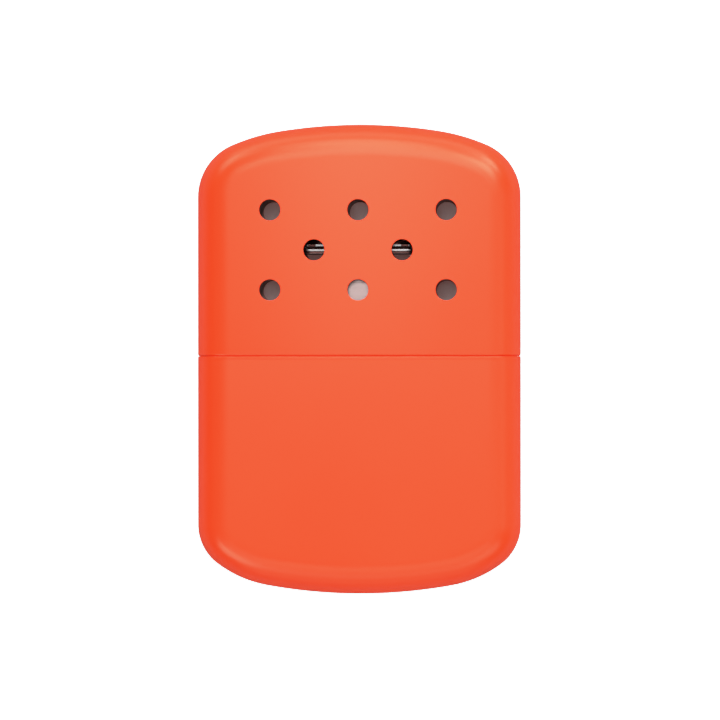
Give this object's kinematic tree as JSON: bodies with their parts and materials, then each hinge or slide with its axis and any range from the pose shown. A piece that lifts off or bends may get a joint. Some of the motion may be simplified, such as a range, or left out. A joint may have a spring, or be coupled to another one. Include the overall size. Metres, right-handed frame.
{
  "type": "catalytic hand warmer",
  "caption": "Flat pocket hand warmer: rounded orange steel tank with a vented pull-off cap over a collar, an oval fuel neck and a push-on catalyst burner.",
  "frame": {"origin": "middle of the back face, at half the closed height and half the width", "axes": "+X across the width to the right, +Y along the height towards the cap, +Z out of the front face"},
  "size_m": [0.0676, 0.098, 0.014],
  "materials": {
    "shell_paint": "smooth satin orange paint on drawn steel",
    "plated_steel": "bright nickel plate over drawn steel",
    "burner_steel": "bright plated sheet, faintly tinted by heat near the mat",
    "gauze_wire": "woven stainless wire",
    "felt": "dense off-white felt",
    "cotton": "loose white cotton",
    "glass_fibre": "grey-white glass-fibre mat"
  },
  "bodies": {
    "tank": {"tank_shell": "shell_paint", "collar_pan": "plated_steel", "filler_neck": "plated_steel", "neck_bridge": "plated_steel", "wick_felt": "felt", "cotton_packing": "cotton"},
    "cap": {"cap_shell": "shell_paint"},
    "burner": {"burner_skirt": "burner_steel", "mat_tray": "burner_steel", "mat_gauze": "gauze_wire", "catalyst_mat": "glass_fibre", "mat_cover": "burner_steel"}
  },
  "joints": [
    {"name": "cap_lift", "type": "slide", "parent": "tank", "child": "cap", "axis": [0, 1, 0], "range_m": [0, 0.06]},
    {"name": "burner_lift", "type": "slide", "parent": "tank", "child": "burner", "axis": [0, 1, 0], "range_m": [0, 0.012]}
  ]
}
